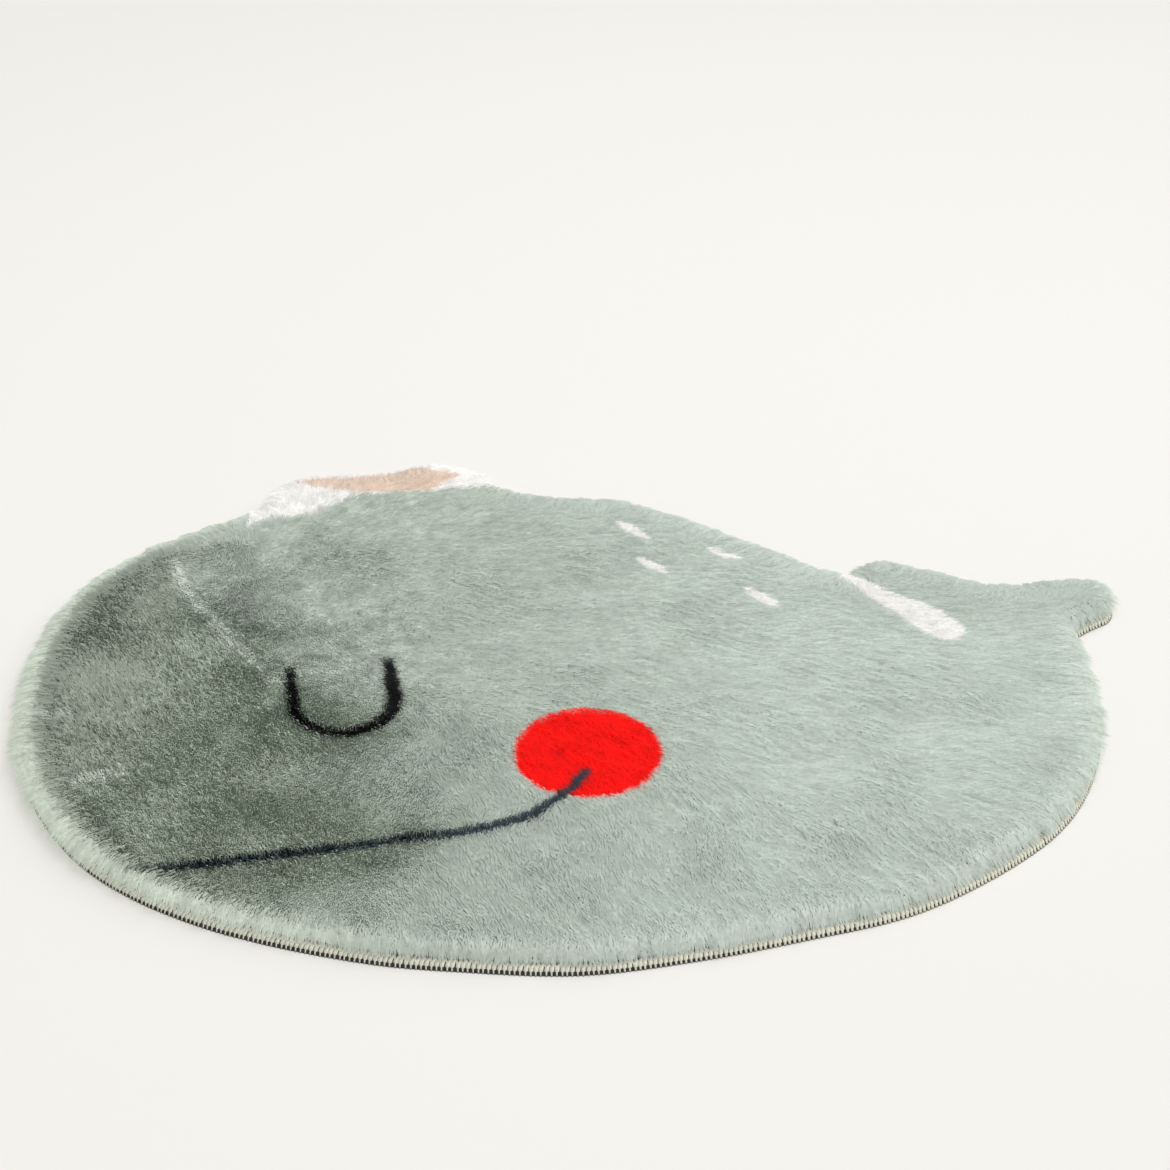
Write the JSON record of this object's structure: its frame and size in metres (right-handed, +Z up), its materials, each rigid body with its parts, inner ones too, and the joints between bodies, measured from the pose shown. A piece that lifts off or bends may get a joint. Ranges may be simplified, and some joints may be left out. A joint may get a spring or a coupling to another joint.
{
  "type": "whale shaped kids rug",
  "caption": "Flat shag rug cut to a whale's outline, printed faux fur over a dark felt backing with an overlocked edge, for a child's floor.",
  "frame": {"origin": "centre of the rug's outline on the floor, under the felt backing", "axes": "+X from the whale's snout to its tail, +Y from its belly to its back and spout, +Z up through the pile"},
  "size_m": [1.197, 0.9154, 0.0214],
  "materials": {
    "fur": "soft printed faux fur pile, sage green with a red, a black, a slate blue, a pink and white areas",
    "felt": "matte charcoal felt",
    "thread": "matte cream overlock thread"
  },
  "bodies": {
    "root": {"pile_cloth": "fur", "backing": "felt", "overlock_edge": "thread"}
  },
  "joints": []
}
